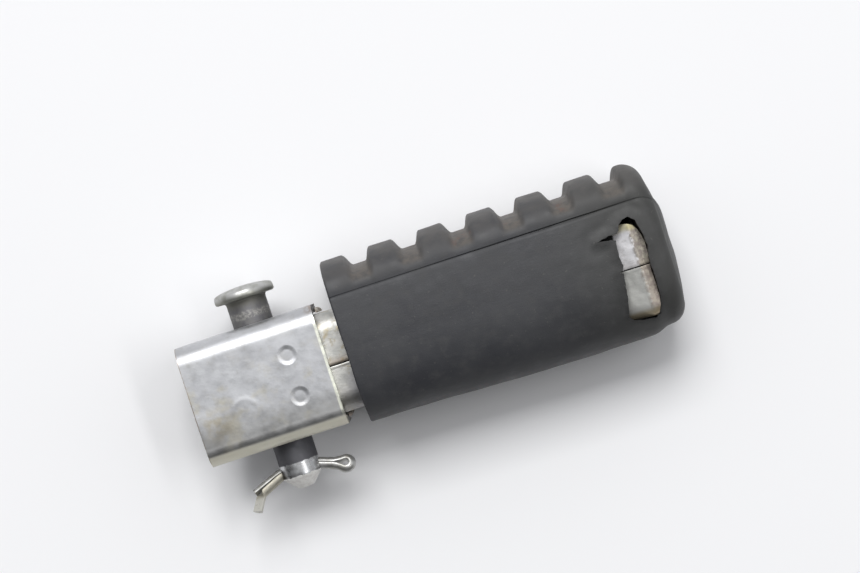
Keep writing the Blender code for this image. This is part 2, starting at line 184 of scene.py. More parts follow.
def normals(mesh):
    found = np.empty(len(mesh.vertices) * 3, np.float32)
    mesh.vertices.foreach_get("normal", found)
    return found.reshape(-1, 3).astype(float)


def roughen(mesh, size, depth, where=None, shift=0.0):
    """Push the surface in and out by smooth noise of that size and depth."""
    points = peg_points(mesh)
    amount = np.array([noise.noise(Vector(p) / size + Vector((shift, 0, 0))) for p in points])
    if where is not None:
        amount = amount * where(points)
    move_points(mesh, points + normals(mesh) * (amount * depth)[:, None])


def mark(mesh, name, values):
    """Store one number per point, which a material reads by name."""
    layer = mesh.attributes.new(name, "FLOAT", "POINT")
    layer.data.foreach_set("value", np.asarray(values, np.float32))


def smooth_shade(mesh, angle):
    """Smooth shading, but for sharp edges and for the wide flat faces."""
    mesh.shade_smooth()
    mesh.set_sharp_from_angle(angle=math.radians(angle))
    for face in mesh.polygons:
        if face.area > FLAT_AREA * MM * MM:
            face.use_smooth = False


def ready(piece, node, body, finish, angle=35):
    """Shade a finished piece, give it its material and put it in its CAD node's place."""
    smooth_shade(piece.data, angle)
    piece.data.materials.clear()
    piece.data.materials.append(finish)
    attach(piece, body)
    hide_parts(node)


# ---------------------------------------------------------------- material helpers

def ramp(tree, value, low, high, bottom, top):
    """A node socket: bottom below low, top above high, eased between."""
    node = tree.nodes.new("ShaderNodeMapRange")
    node.interpolation_type = "SMOOTHSTEP"
    tree.links.new(value, node.inputs["Value"])
    for name, number in (("From Min", low), ("From Max", high), ("To Min", bottom),
                         ("To Max", top)):
        node.inputs[name].default_value = number
    return node.outputs[0]


class Finish:
    """A procedural material, with short ways to add nodes to it."""

    def __init__(self, name, metallic=0.0, specular=0.5):
        self.material = bpy.data.materials.new(name)
        self.material.use_nodes = True
        self.tree = self.material.node_tree
        self.shader = self.tree.nodes["Principled BSDF"]
        self.shader.inputs["Metallic"].default_value = metallic
        self.shader.inputs["Specular IOR Level"].default_value = specular
        coordinates = self.tree.nodes.new("ShaderNodeTexCoord")
        self.place = self.join("ShaderNodeVectorMath", "SUBTRACT",
                               coordinates.outputs["Object"], tuple(ORIGIN))
        self.place = self.join("ShaderNodeVectorMath", "SCALE", self.place, None, scale=1 / MM)
        split = self.tree.nodes.new("ShaderNodeSeparateXYZ")
        self.tree.links.new(self.place, split.inputs[0])
        self.x, self.y, self.z = split.outputs
        self.normal = None

    def feed(self, socket, value):
        if isinstance(value, bpy.types.NodeSocket):
            self.tree.links.new(value, socket)
        elif value is not None:
            socket.default_value = (*value, 1) if isinstance(value, tuple) and \
                socket.type == "RGBA" else value

    def join(self, kind, operation, a, b, scale=None):
        node = self.tree.nodes.new(kind)
        node.operation = operation
        self.feed(node.inputs[0], a)
        self.feed(node.inputs[1], b)
        if scale is not None:
            node.inputs["Scale"].default_value = scale
        return node.outputs[0]

    def calc(self, operation, a, b=None):
        return self.join("ShaderNodeMath", operation, a, b)

    def noise(self, size, detail=3.0, rough=0.55, stretch=(1, 1, 1), bend=0.0):
        """Noise whose blobs are about size millimetres, longer where stretch is more."""
        scaled = self.tree.nodes.new("ShaderNodeVectorMath")
        scaled.operation = "MULTIPLY"
        self.feed(scaled.inputs[0], self.place)
        scaled.inputs[1].default_value = tuple(1 / (size * s) for s in stretch)
        node = self.tree.nodes.new("ShaderNodeTexNoise")
        self.feed(node.inputs["Vector"], scaled.outputs[0])
        node.inputs["Scale"].default_value = 1.0
        node.inputs["Detail"].default_value = detail
        node.inputs["Roughness"].default_value = rough
        node.inputs["Distortion"].default_value = bend
        return node.outputs[0]

    def step(self, value, low, high, bottom=0.0, top=1.0):
        """Bottom below low, top above high, eased between."""
        return ramp(self.tree, value, low, high, bottom, top)

    def band(self, value, low, high, soft):
        """1 between low and high, 0 outside."""
        return self.calc("MULTIPLY", self.step(value, low - soft, low + soft),
                         self.step(value, high - soft, high + soft, 1, 0))

    def spot(self, x, y, radius, soft):
        """1 inside a circle seen along Z."""
        dx = self.calc("SUBTRACT", self.x, x)
        dy = self.calc("SUBTRACT", self.y, y)
        away = self.calc("SQRT", self.calc("ADD", self.calc("MULTIPLY", dx, dx),
                                           self.calc("MULTIPLY", dy, dy)))
        return self.step(away, radius - soft, radius + soft, 1, 0)

    def mix(self, factor, a, b):
        node = self.tree.nodes.new("ShaderNodeMix")
        node.data_type = "RGBA"
        self.feed(node.inputs[0], factor)
        self.feed(node.inputs[6], a)
        self.feed(node.inputs[7], b)
        return node.outputs[2]

    def marked(self, name):
        node = self.tree.nodes.new("ShaderNodeAttribute")
        node.attribute_name = name
        return node.outputs["Fac"]

    def bump(self, height, depth, strength=1.0):
        """Add relief of that depth in millimetres."""
        node = self.tree.nodes.new("ShaderNodeBump")
        node.inputs["Strength"].default_value = strength
        node.inputs["Distance"].default_value = depth * MM
        self.feed(node.inputs["Height"], height)
        self.feed(node.inputs["Normal"], self.normal)
        self.normal = node.outputs[0]
        self.feed(self.shader.inputs["Normal"], self.normal)

    def done(self, color, roughness):
        self.feed(self.shader.inputs["Base Color"], color)
        self.feed(self.shader.inputs["Roughness"], roughness)
        return self.material


# ---------------------------------------------------------------- rubber sleeve

MID_Y = 2.0
UNDER_Y = -16.7
HALF_Z = 16.0
UNDER_POWER = 2.6
CROWN_Y = 4.0
CROWN_DROP = 0.8
FLAT_SIDE_FACTOR = 1.06
BULGE = 1.4
BULGE_X = (20.0, 75.0, 92.0, 97.0)
LEDGE_Y = 15.1
LEDGE_STEP = 0.5
TREAD_EDGE_Y = 15.4
TREAD_POWER = 2.4
TREAD_HEIGHT = 8.7
VALLEY_DEPTH = 3.1
RIB_COUNT = 7
RIB_PITCH = 12.56
RIB_FIRST_X = 25.9
RIB_TOP = 6.3
RIB_OUT_FLANK = 1.4
RIB_IN_FLANK = 0.9
RIB_ROUNDING = 0.5
END_DOME_R = 68.0
END_LEAN = 0.023
END_EDGE_R = 4.3
END_EDGE_X = 96.3
END_CENTRE_Y = 3.5
END_RADIUS = 20.5

# rim of the slot that the tube's lip shows through, torn on its inboard side
SLOT_RIM = [(93.4, 11.5), (91.8, 11.3), (90.7, 10.4), (90.3, 9.2), (89.7, 8.5), (87.6, 8.6),
            (85.8, 8.2), (84.6, 8.0), (86.0, 7.7), (87.8, 7.5), (88.9, 7.0), (88.7, 6.0),
            (88.5, 3.3), (88.7, 0.9), (88.4, 0.0), (87.5, -0.5), (88.3, -1.0), (87.9, -3.1),
            (87.6, -6.0), (87.1, -9.0), (86.5, -11.3), (87.6, -12.6), (90.0, -13.1),
            (92.9, -13.5), (94.0, -12.3), (94.6, -10.8), (95.0, -8.5), (95.2, -3.8),
            (95.1, -0.8), (95.3, 1.0), (95.5, 2.4), (95.8, 3.6), (95.6, 5.2), (95.5, 6.8),
            (95.2, 8.2), (94.7, 10.2)]
SLOT_LOW_Z = 24.3
RIM_LIFT, RIM_LIFT_WIDTH = 0.22, 1.1        # torn edges stand up around the slot
RIM_DIP, RIM_DIP_AWAY, RIM_DIP_WIDTH = 0.25, 2.6, 1.5
BODY_PROUD = 0.4                # of the body's end over the cap's


def rib_height(x):
    """How far the tread stands above its valley floor at x, with rounded corners."""
    x = np.asarray(x, float)
    total = np.zeros_like(x)
    spread = np.linspace(-RIB_ROUNDING, RIB_ROUNDING, 7)
    for offset in spread:
        at = x + offset
        height = np.zeros_like(x)
        for k in range(RIB_COUNT):
            out_top = RIB_FIRST_X + k * RIB_PITCH
            rise = (at - out_top + RIB_TOP + RIB_IN_FLANK) / RIB_IN_FLANK
            fall = (out_top + RIB_OUT_FLANK - at) / RIB_OUT_FLANK
            if k == 0:
                rise = np.ones_like(x)
            if k == RIB_COUNT - 1:
                fall = np.ones_like(x)
            height = np.maximum(height, np.minimum(1, np.minimum(rise, fall)))
        total += np.clip(height, 0, 1)
    return total / len(spread) * VALLEY_DEPTH


def half_section(x):
    """(y, half width) from underneath the sleeve to the middle of its tread."""
    bulge = BULGE * eased(x, *BULGE_X[:2]) * (1 - eased(x, *BULGE_X[2:]))
    reach = MID_Y - UNDER_Y
    a = np.radians(90 * np.linspace(0, 1, 40, endpoint=False) ** 0.9)
    y = MID_Y - reach * np.cos(a) ** (2 / UNDER_POWER)
    width = HALF_Z * np.sin(a) ** (2 / UNDER_POWER)
    y = y - bulge * np.clip((MID_Y - y) / reach, 0, 1) ** 2
    drop = CROWN_DROP / (LEDGE_Y - CROWN_Y) ** 2
    side = np.linspace(MID_Y, LEDGE_Y - 0.45, 20)
    side_width = HALF_Z - drop * (side - CROWN_Y) ** 2
    edge = HALF_Z - CROWN_DROP
    groove = 0.02 + 0.17 * float(eased(x, 45, 80)) + 0.05 * noise.noise(Vector((x / 5, 0, 0)))
    groove *= 1 - float(eased(x, 84, 95))
    step = LEDGE_STEP * (0.2 + 0.6 * float(eased(x, 30, 80)))
    step *= 1 - 0.8 * float(eased(x, 86, 97))
    ledge = [(LEDGE_Y - 0.28, edge - groove * 0.6), (LEDGE_Y - 0.08, edge - groove),
             (LEDGE_Y + 0.05, edge - groove * 0.7), (LEDGE_Y + 0.1, edge + step * 0.6),
             (LEDGE_Y + 0.22, edge + step)]
    height = TREAD_HEIGHT - VALLEY_DEPTH + float(rib_height(x))
    turn = np.radians(90 * np.linspace(0, 1, 37) ** 1.1)
    top_y = TREAD_EDGE_Y + height * np.sin(turn) ** (2 / TREAD_POWER)
    top_width = (edge + step) * np.maximum(np.cos(turn), 0) ** (2 / TREAD_POWER)
    top_width[-1] = 0
    ys = np.concatenate([y, side, [p[0] for p in ledge], top_y])
    widths = np.concatenate([width, side_width, [p[1] for p in ledge], top_width])
    return ys, widths


def sleeve_ring(x, ring_x=None, scale=1.0, lean=END_LEAN):
    """The sleeve's outline at x, drawn at ring_x and shrunk towards its middle."""
    ys, widths = half_section(x)
    y = np.concatenate([ys, ys[-2:0:-1]])
    far = np.minimum(HALF_Z, FLAT_SIDE_FACTOR * widths[-2:0:-1])
    z = np.concatenate([widths, -far])
    away = (y - END_CENTRE_Y) * scale
    at = np.full_like(y, x) if ring_x is None else ring_x - lean * away
    return np.stack([at, END_CENTRE_Y + away, PIN_Z + z * scale], axis=1)


def sleeve_stations():
    """Close together at the ribs' corners, wider apart elsewhere."""
    stops = list(np.arange(SLEEVE_LOW.x + 0.9, END_EDGE_X - 0.3, 0.8))
    for k in range(RIB_COUNT):
        out_top = RIB_FIRST_X + k * RIB_PITCH
        for corner in (out_top - RIB_TOP - RIB_IN_FLANK, out_top - RIB_TOP, out_top,
                       out_top + RIB_OUT_FLANK):
            stops += list(corner + np.linspace(-0.6, 0.6, 9))
    stops = sorted(s for s in stops if SLEEVE_LOW.x + 0.8 < s < END_EDGE_X - 0.6)
    kept = [stops[0]]
    for stop in stops[1:]:
        if stop - kept[-1] > 0.1:
            kept.append(stop)
    return kept


def sleeve_body():
    rings = []
    start = SLEEVE_LOW.x
    edge = 0.45
    for scale in (0.25, 0.6, 0.87):
        rings.append(sleeve_ring(start, start, scale, 0))
    for a in np.radians((0, 25, 50, 75)):
        scale = 1 - edge * (1 - math.sin(a)) / END_RADIUS
        rings.append(sleeve_ring(start + 0.4, start + edge * (1 - math.cos(a)), scale, 0))
    rings += [sleeve_ring(x) for x in [start + edge] + sleeve_stations()]
    for a in np.radians(np.linspace(0, 72, 13)):
        radius = END_RADIUS - END_EDGE_R * (1 - math.cos(a))
        x = END_EDGE_X + END_EDGE_R * math.sin(a)
        rings.append(sleeve_ring(END_EDGE_X, x, radius / END_RADIUS))
    for part in np.linspace(0.845, 0.02, 34):
        radius = END_RADIUS * part
        x = SLEEVE_HIGH.x - radius ** 2 / (2 * END_DOME_R)
        rings.append(sleeve_ring(END_EDGE_X, x, part))
    return loft(rings, "rubber_sleeve")


def ragged(rim, step, depth, seed):
    """The rim with points every step or so, shaken by noise."""
    points = []
    for (ax, ay), (bx, by) in zip(rim, rim[1:] + rim[:1]):
        count = max(1, round(math.hypot(bx - ax, by - ay) / step))
        for i in range(count):
            t = i / count
            x, y = ax + (bx - ax) * t, ay + (by - ay) * t
            shake = noise.noise_vector(Vector((x * 0.9, y * 0.9, seed)))
            points.append((x + shake.x * depth, y + shake.y * depth))
    return points


def from_rim(points, rim):
    """Distance of each point from the rim's line, seen along Z."""
    away = np.full(len(points), 1e9)
    p = points[:, :2]
    for a, b in zip(rim, rim[1:] + rim[:1]):
        a, b = np.array(a), np.array(b)
        along = b - a
        t = np.clip(((p - a) @ along) / (along @ along), 0, 1)
        away = np.minimum(away, np.linalg.norm(p - a - t[:, None] * along, axis=1))
    return away


def make_sleeve():
    mesh = sleeve_body()
    points = peg_points(mesh)
    border = 11.0 + 4.2 * (np.abs(points[:, 2] - PIN_Z) / 14) ** 2
    on_body = eased(border - points[:, 1], -0.3, 0.3)
    on_end = eased(points[:, 0], 99.0, 101.0)
    points[:, 0] += BODY_PROUD * on_body * on_end * eased(points[:, 1], 3, 10)
    upper = points[:, 2] > PIN_Z
    away = from_rim(points, SLOT_RIM)
    lift = RIM_LIFT * np.exp(-(away / RIM_LIFT_WIDTH) ** 2)
    dip = RIM_DIP * np.exp(-((away - RIM_DIP_AWAY) / RIM_DIP_WIDTH) ** 2)
    points[:, 2] += np.where(upper, lift, 0)
    points[:, 2] -= np.where(upper, dip, 0)
    move_points(mesh, points)

    def above_table(p):
        return eased(p[:, 2], 0.2, 2.0)
    roughen(mesh, 9.0, 0.14, above_table)
    roughen(mesh, 2.4, 0.05, above_table, shift=7.3)

    sleeve = thing("sleeve", mesh)
    pocket = [tube_ring(x, POCKET_GAP) for x in tube_stations(SLEEVE_LOW.x - 2, POCKET_END_X)]
    cut_away(sleeve, loft(pocket))
    rim = ragged(SLOT_RIM, 0.25, 0.16, 3.0)
    cut_away(sleeve, prism(rim, "Z", SLOT_LOW_Z, 2 * PIN_Z + 6, cuts=6))
    points = peg_points(sleeve.data)
    height = rib_height(points[:, 0])
    on_cap = eased(points[:, 1], TREAD_EDGE_Y + 0.8, TREAD_EDGE_Y + 2.6)
    mark(sleeve.data, "valley", (1 - height / VALLEY_DEPTH) * on_cap)
    tread = np.clip((points[:, 1] - TREAD_EDGE_Y) / TREAD_HEIGHT, 0, 1)
    mark(sleeve.data, "tread", tread)
    torn = np.exp(-(from_rim(points, SLOT_RIM) / 0.9) ** 2)
    mark(sleeve.data, "torn", torn * (points[:, 2] > PIN_Z))
    return sleeve


def rubber():
    f = Finish("aged_rubber", specular=0.45)
    broad = f.noise(14, 2)
    blotch = f.noise(3.2, 4, 0.6)
    grain = f.noise(0.28, 3, 0.6)
    color = f.mix(f.step(broad, 0.35, 0.65), (0.032, 0.033, 0.038), (0.041, 0.042, 0.046))
    color = f.mix(f.step(f.x, 62, 96, 0, 0.8), color, (0.043, 0.043, 0.040))
    color = f.mix(f.step(blotch, 0.45, 0.75, 0, 0.6), color, (0.056, 0.056, 0.057))
    warm = f.calc("MULTIPLY", f.marked("tread"), f.step(f.noise(4, 3), 0.3, 0.6, 0.35, 0.9))
    color = f.mix(warm, color, (0.078, 0.073, 0.069))
    dust = f.calc("MULTIPLY", f.marked("valley"), f.step(f.noise(1.8, 4, 0.65), 0.3, 0.6, 0.2, 0.7))
    color = f.mix(dust, color, (0.115, 0.100, 0.085))
    rust = f.calc("MULTIPLY", f.marked("valley"), f.step(f.noise(3.0, 3), 0.56, 0.68))
    rust = f.calc("MULTIPLY", rust, f.band(f.x, 52, 80, 4))
    color = f.mix(f.calc("MULTIPLY", rust, 0.6), color, (0.115, 0.060, 0.045))
    color = f.mix(f.calc("MULTIPLY", f.marked("torn"), f.step(f.noise(1.1, 3), 0.35, 0.6, 0.4, 1)),
                  color, (0.026, 0.026, 0.026))
    specks = f.step(f.noise(0.7, 2, 0.4), 0.70, 0.76, 0, 0.5)
    color = f.mix(specks, color, (0.085, 0.083, 0.078))
    f.bump(grain, 0.05, 0.5)
    f.bump(f.noise(1.3, 4, 0.6, (2.2, 1, 1)), 0.10, 0.45)
    rough = f.step(f.calc("ADD", f.calc("MULTIPLY", blotch, 0.6), f.calc("MULTIPLY", broad, 0.4)),
                   0.3, 0.7, 0.50, 0.66)
    return f.done(color, rough)


# ---------------------------------------------------------------- folded tube

TUBE_HALF_Y = TUBE_HIGH.y
TUBE_TOP_Z = 26.0
TUBE_BOTTOM_Z = TUBE_LOW.z
TUBE_BEND_R = 5.0
TUBE_INNER_R = 3.0
SEAM_Y = -0.55
SEAM_WIDTH = 0.32
WALLS_X = (6.5, 88.6)
FLARE_START_X = 75.0
FLARE_END_X = 92.8
FLARE_TOP = 4.5
FLARE_SIDE = 0.6
FLARE_BEND_R = -2.0
TUBE_END_X = 95.6                # a little under the edge of the slot
LIP_DROP = 0.8
POCKET_END_X = 94.0             # beyond it the slot makes room for the lip
POCKET_GAP = 0.12
BURR = 0.10
LIP_LOW_Z = 24.5

# outer edge of the lip, seen from above, then far round it
LIP_EDGE = [(89.9, 10.5), (91.4, 10.2), (92.8, 9.9), (93.9, 9.3), (94.7, 8.0), (95.2, 6.6),
            (95.5, 5.2), (95.5, 3.5), (95.4, 1.7), (95.4, 0.4), (95.05, -0.5), (95.0, -1.7),
            (94.95, -6.1), (95.0, -8.2), (94.6, -10.4), (94.0, -12.2), (93.0, -14.2)]
LIP_AROUND = [(92.4, -22), (105, -22), (105, 20), (89.8, 20)]


def flare(x):
    part = (x - FLARE_START_X) / (FLARE_END_X - FLARE_START_X)
    return min(1.0, max(0.0, part)) ** 2


def tube_ring_yz(x, out, radius, steps=8):
    """The tube's outside at x, grown outwards, clockwise from the tread's corner."""
    low_y = -TUBE_HALF_Y - FLARE_SIDE * flare(x) - out
    high_y = TUBE_HALF_Y + out
    low_z = TUBE_BOTTOM_Z - out
    high_z = TUBE_TOP_Z + FLARE_TOP * flare(x) + out
    high_z -= LIP_DROP * max(0.0, (x - FLARE_END_X) / (TUBE_END_X - FLARE_END_X))
    r = radius + FLARE_BEND_R * flare(x)
    run = arc((high_y - r, high_z - r), r, 90, 0, steps)
    run += arc((high_y - r, low_z + r), r, 0, -90, steps)
    run += arc((low_y + r, low_z + r), r, -90, -180, steps)
    return run + arc((low_y + r, high_z - r), r, 180, 90, steps)


def tube_ring(x, out):
    return [(x, y, z) for y, z in tube_ring_yz(x, out, TUBE_BEND_R)]


def tube_stations(start, end):
    return [start] + list(np.linspace(FLARE_START_X, FLARE_END_X, 24)) + [end]


def make_tube():
    rings = []
    stations = list(np.linspace(TUBE_LOW.x, FLARE_START_X, 26))
    stations += list(np.linspace(FLARE_START_X, TUBE_END_X, 70))[1:]
    for x in stations:
        outer = tube_ring_yz(x, 0, TUBE_BEND_R)
        inner = tube_ring_yz(x, -SHEET, TUBE_INNER_R)[::-1]
        top, under = outer[0][1], inner[0][1]
        upper, lower = SEAM_Y + SEAM_WIDTH / 2, SEAM_Y - SEAM_WIDTH / 2
        near = np.linspace(upper + 0.25, outer[0][0], 22)[:-1]
        far = np.linspace(outer[-1][0], lower - 0.25, 22)[1:]
        outline = [(upper, top - 0.12)] + [(y, top) for y in near] + outer
        outline += [(y, top) for y in far[:-1]] + [(far[-1], top + BURR), (lower, top + 0.03)]
        outline += [(lower, under)] + inner + [(upper, under)]
        rings.append([(x, y, z) for y, z in outline])
    tube = thing("tube", loft(rings))
    reach = TUBE_HALF_Y + 6
    for low, high in (((-5, -reach, 0), (WALLS_X[0], reach, TUBE_TOP_Z - SHEET - 0.05)),
                      ((WALLS_X[1], -reach, 0), (TUBE_HIGH.x + 5, reach, LIP_LOW_Z))):
        outline = [(low[0], low[1]), (high[0], low[1]), (high[0], high[1]), (low[0], high[1])]
        cut_away(tube, prism(outline, "Z", low[2], high[2]))
    edge = ragged(LIP_EDGE + LIP_AROUND, 0.5, 0.12, 8.0)
    cut_away(tube, prism(edge, "Z", LIP_LOW_Z - 2, 40))
    roughen(tube.data, 1.9, 0.08, lambda p: eased(p[:, 0], 87, 89.5))
    roughen(tube.data, 4.0, 0.05, lambda p: 1 - eased(p[:, 0], 20, 26), shift=3.0)
    return tube


def tube_steel():
    f = Finish("worn_tube_steel", metallic=1.0)
    cloud = f.noise(3.5, 4, 0.6)
    color = f.mix(f.step(cloud, 0.35, 0.65), (0.66, 0.65, 0.62), (0.50, 0.50, 0.48))
    stain = f.step(f.noise(2.2, 4, 0.65), 0.52, 0.68, 0, 0.75)
    color = f.mix(stain, color, (0.42, 0.36, 0.24))
    # painted shade: the tube darker towards its lower bend
    color = f.mix(f.step(f.y, -8.5, -1.0, 0.6, 0), color, (0.38, 0.37, 0.36))
    # the lip: scuffed bright on its inboard facet, with a painted highlight on the facet's upper
    # half; rusty along its cut edge
    lip = f.step(f.x, 85.5, 87.5)
    upper = f.step(f.y, SEAM_Y - 0.2, SEAM_Y + 0.2)
    scuff_and_highlight = f.mix(upper, (0.60, 0.60, 0.57), (0.97, 0.96, 0.98))
    scuff_and_highlight = f.mix(f.step(f.noise(1.1, 4, 0.7, (3, 1, 1)), 0.5, 0.7, 0, 0.5), scuff_and_highlight,
                    (0.55, 0.53, 0.52))
    color = f.mix(lip, color, scuff_and_highlight)
    wobble = f.calc("MULTIPLY", f.calc("SUBTRACT", f.noise(1.6, 4, 0.65), 0.5), 2.6)
    cut = f.step(f.calc("ADD", f.x, wobble), 92.4, 93.0)
    rust = f.mix(f.step(f.noise(1.0, 4, 0.7), 0.42, 0.58), (0.15, 0.11, 0.08), (0.33, 0.295, 0.215))
    rust = f.mix(f.step(f.y, -0.6, -0.5), f.mix(0.35, rust, (0.42, 0.34, 0.32)), rust)
    color = f.mix(f.calc("MULTIPLY", cut, 0.85), color, rust)
    # painted shade: the ridge between the lip's facets is darkened in broken patches, to damp the
    # highlight it catches
    ridge = f.calc("MULTIPLY", f.band(f.x, 92.2, 93.5, 0.4), f.step(f.noise(1.3, 3), 0.38, 0.58))
    color = f.mix(f.calc("MULTIPLY", ridge, 0.75), color, (0.34, 0.31, 0.28))
    yellow = f.calc("MULTIPLY", lip, f.step(f.y, 7.8, 9.2, 0, 0.75))
    color = f.mix(yellow, color, (0.62, 0.56, 0.32))
    brown = f.calc("MULTIPLY", lip, f.step(f.y, -11.8, -10.4, 0.8, 0))
    color = f.mix(brown, color, (0.38, 0.31, 0.19))
    seam = f.calc("MULTIPLY", f.step(f.y, SEAM_Y - 0.1, SEAM_Y + 0.1),
                  f.step(f.y, SEAM_Y + 0.2, SEAM_Y + 2.6, 0.6, 0))
    color = f.mix(f.calc("MULTIPLY", seam, f.step(lip, 0, 1, 1, 0.3)), color, (0.30, 0.22, 0.15))
    shaded = f.calc("MULTIPLY", f.step(f.y, -4.5, -2.0, 1, 0), f.band(f.x, 18.3, 30, 1.6))
    color = f.mix(f.calc("MULTIPLY", shaded, 0.5), color, (0.24, 0.24, 0.27))
    # painted shade: a near-black spot on the tube where it shows through the slot's crack
    color = f.mix(f.spot(87.2, 7.95, 1.6, 0.3), color, (0.03, 0.03, 0.03))
    f.feed(f.shader.inputs["Metallic"], f.step(f.x, 85.5, 87.5, 1.0, 0.6))
    f.bump(f.noise(0.6, 4, 0.7, (2, 1, 1)), 0.06, 0.6)
    f.bump(f.noise(2.5, 3), 0.12, 0.5)
    rough = f.step(cloud, 0.3, 0.7, 0.44, 0.60)
    return f.done(color, rough)


# ---------------------------------------------------------------- bracket

BEND_R = 4.5
TAIL_CORNER_R = 10.0
FRONT_CORNER_R = 3.0
HOLE_R = 5.3
DIMPLES = [(6.3, 5.35), (6.3, -4.9)]
DIMPLE_R = 2.2
DIMPLE_FLOOR_R = 1.55
DIMPLE_DEPTH = 0.17
MARK_X, MARK_Y, MARK_R = -7.15, -4.25, 3.2
WEB_CELLS = 50
WEB_FALL, WEB_FALL_Y = 0.3, 3.5


def make_bracket():
    tail, front = BRACKET_LOW.x, BRACKET_HIGH.x
    side, low, top = BRACKET_HIGH.y, BRACKET_LOW.z, BRACKET_HIGH.z
    left, right = (-side + BEND_R, top - BEND_R), (side - BEND_R, top - BEND_R)
    across = [(y, top) for y in np.linspace(left[0], right[0], WEB_CELLS + 1)[1:-1]]
    outline = [(-side, low)] + arc(left, BEND_R, 180, 90, 20) + across
    outline += arc(right, BEND_R, 90, 0, 20)
    outline += [(side, low), (side - SHEET, low)] + arc(right, BEND_R - SHEET, 0, 90, 12)
    outline += arc(left, BEND_R - SHEET, 90, 180, 12) + [(-side + SHEET, low)]
    bracket = thing("bracket", prism(outline, "X", tail, front, cuts=90))
    corner = arc((tail + TAIL_CORNER_R, low + TAIL_CORNER_R), TAIL_CORNER_R, 180, 270, 24)
    corner += [(tail + TAIL_CORNER_R, low - PAST), (tail - PAST, low - PAST),
               (tail - PAST, low + TAIL_CORNER_R)]
    nose = arc((front - FRONT_CORNER_R, low + FRONT_CORNER_R), FRONT_CORNER_R, 0, -90, 12)
    nose += [(front - FRONT_CORNER_R, low - PAST), (front + PAST, low - PAST),
             (front + PAST, low + FRONT_CORNER_R)]
    reach = side + PAST
    cut_away(bracket, prism(corner, "Y", -reach, reach))
    cut_away(bracket, prism(nose, "Y", -reach, reach))
    cut_away(bracket, turned([(-reach, HOLE_R), (reach, HOLE_R)], "Y", (0, 0, PIN_Z)))
    bevel(bracket, 0.22, 3)
    for x, y in DIMPLES:
        floor = top - DIMPLE_DEPTH
        profile = [(floor, 0.3), (floor, 0.7), (floor, 1.05)]
        for part in np.linspace(0, 1, 9):
            rise = float(eased(part, -0.1, 1.15))
            profile.append((floor - 0.01 + DIMPLE_DEPTH * 1.05 * rise,
                            DIMPLE_FLOOR_R - 0.2 + (DIMPLE_R - DIMPLE_FLOOR_R + 0.4) * part))
        profile.append((top + 1, DIMPLE_R + 1.2))
        cut_away(bracket, turned(profile, "Z", (x, y, 0), 48))
    points = peg_points(bracket.data)
    away = np.hypot(points[:, 0] - MARK_X, points[:, 1] - MARK_Y)
    raised = 0.045 * eased(-away, -MARK_R - 0.4, -MARK_R + 0.2) - 0.035 * eased(-away, -2.9, -1.8)
    raised = raised * eased((points[:, 1] - MARK_Y) / MARK_R, -0.5, 0.5)
    points[:, 2] += raised * (points[:, 2] > top - 0.1)
    # the web falls away a little towards its lower bend
    fall = np.clip((-WEB_FALL_Y - points[:, 1]) / (side - BEND_R - WEB_FALL_Y), 0, 1) ** 2
    points[:, 2] -= WEB_FALL * fall * eased(points[:, 2], 22.5, 26.5)
    move_points(bracket.data, points)
    roughen(bracket.data, 7.0, 0.06)
    roughen(bracket.data, 1.6, 0.012)
    return bracket


def zinc():
    f = Finish("dulled_zinc", metallic=1.0)
    cloud = f.noise(5.5, 4, 0.6)
    color = f.mix(f.step(cloud, 0.3, 0.7), (0.59, 0.597, 0.615), (0.507, 0.512, 0.53))
    yellow = f.calc("MULTIPLY", f.step(f.noise(7.5, 3, 0.6), 0.50, 0.68, 0, 0.65),
                    f.step(f.y, 3.0, 8.5, 1, 0.1))
    color = f.mix(yellow, color, (0.54, 0.51, 0.42))
    tail = f.calc("MULTIPLY", f.spot(-14.5, -6.0, 3.5, 2.5), f.step(f.noise(2.5, 4), 0.3, 0.6))
    color = f.mix(f.calc("MULTIPLY", tail, 0.7), color, (0.45, 0.40, 0.30))
    # painted shade: the web darker towards its lower bend
    lower = f.step(f.y, -11.5, -3.0, 0.40, 0)
    color = f.mix(lower, color, (0.45, 0.44, 0.40))
    dull = f.calc("MULTIPLY", f.step(f.noise(2.0, 5, 0.7), 0.50, 0.72), 0.45)
    color = f.mix(dull, color, (0.44, 0.43, 0.41))
    brown = f.calc("MULTIPLY", f.step(f.x, 12.2, 14.9),
                   f.step(f.calc("ABSOLUTE", f.y), 12.0, 14.2))
    color = f.mix(f.calc("MULTIPLY", brown, f.step(f.noise(1.2, 4), 0.4, 0.6, 0, 0.6)), color,
                  (0.26, 0.18, 0.12))
    # painted highlight: a pale line along the bracket's front edge
    edge = f.calc("MULTIPLY", f.step(f.x, 14.35, 14.6),
                  f.step(f.calc("ABSOLUTE", f.y), 11.5, 13.0, 1, 0))
    color = f.mix(f.calc("MULTIPLY", edge, f.step(f.noise(1.5, 3), 0.3, 0.5, 0.55, 1)), color,
                  (0.90, 0.91, 0.80))
    # painted reflection of the pale floor: a bright cream strip along the lower bend, less metallic
    floor_reflection = f.calc("MULTIPLY", f.step(f.y, -13.0, -11.9, 1, 0), f.step(f.z, 19.0, 25.0))
    color = f.mix(f.calc("MULTIPLY", floor_reflection, 0.85), color, (0.79, 0.76, 0.63))
    tail_edge = f.calc("MULTIPLY", f.step(f.x, -19.2, -18.9, 0.75, 0),
                       f.step(f.noise(1.5, 3), 0.3, 0.5))
    color = f.mix(tail_edge, color, (0.30, 0.22, 0.15))
    f.feed(f.shader.inputs["Metallic"], f.step(floor_reflection, 0, 1, 1.0, 0.35))
    f.bump(f.noise(0.5, 4, 0.7), 0.03, 0.5)
    f.bump(f.noise(4.5, 3), 0.10, 0.35)
    rough = f.step(f.noise(3, 4, 0.6), 0.3, 0.7, 0.40, 0.52)
    return f.done(color, rough)


# ---------------------------------------------------------------- clevis pin

